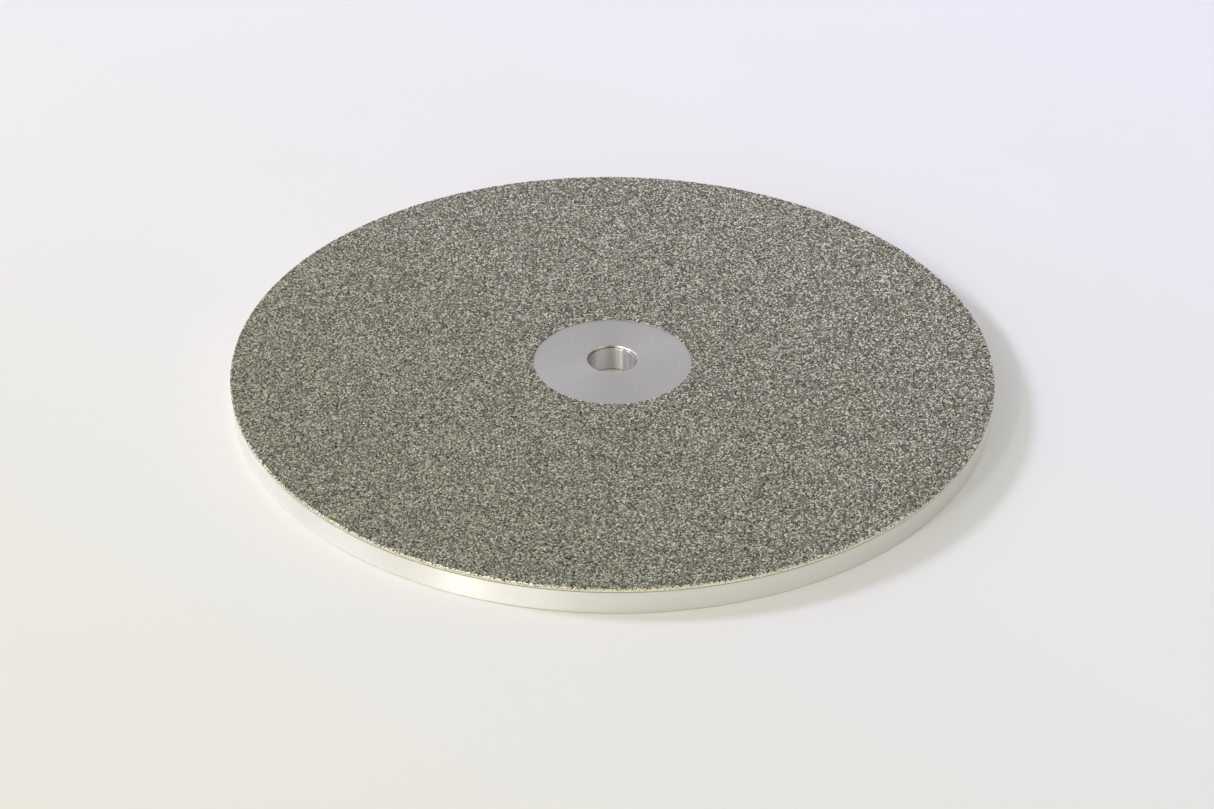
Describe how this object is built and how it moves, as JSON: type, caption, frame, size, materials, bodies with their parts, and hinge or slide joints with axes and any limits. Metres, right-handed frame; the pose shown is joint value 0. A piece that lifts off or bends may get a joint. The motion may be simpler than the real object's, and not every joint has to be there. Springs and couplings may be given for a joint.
{
  "type": "diamond grinding wheel",
  "caption": "Flat round lap disc with a diamond-gritted working face, bare hub circle and central arbor bore, for grinding and shaping stone or glass.",
  "frame": {"origin": "on the bore's axis, on the back face that the wheel seats on", "axes": "+Z along the wheel's axis, out of the gritted face; X and Y lie in the back face, and the bare hub circle is 1.1 mm off the axis towards -Y"},
  "size_m": [0.2032, 0.2032, 0.0077],
  "materials": {
    "plate_aluminium": "fine turned, satin on the faces and brighter on the rim",
    "undercoat_nickel": "bright struck nickel",
    "bond_nickel": "nodular electroplated nickel, semi-bright",
    "diamond_grit": "single layer of blocky grains, grey to pale yellow-green, sparkling"
  },
  "bodies": {
    "root": {"backing_plate": "plate_aluminium", "nickel_undercoat": "undercoat_nickel", "nickel_bond": "bond_nickel", "face_grit": "diamond_grit", "rim_grit": "diamond_grit"}
  },
  "joints": []
}
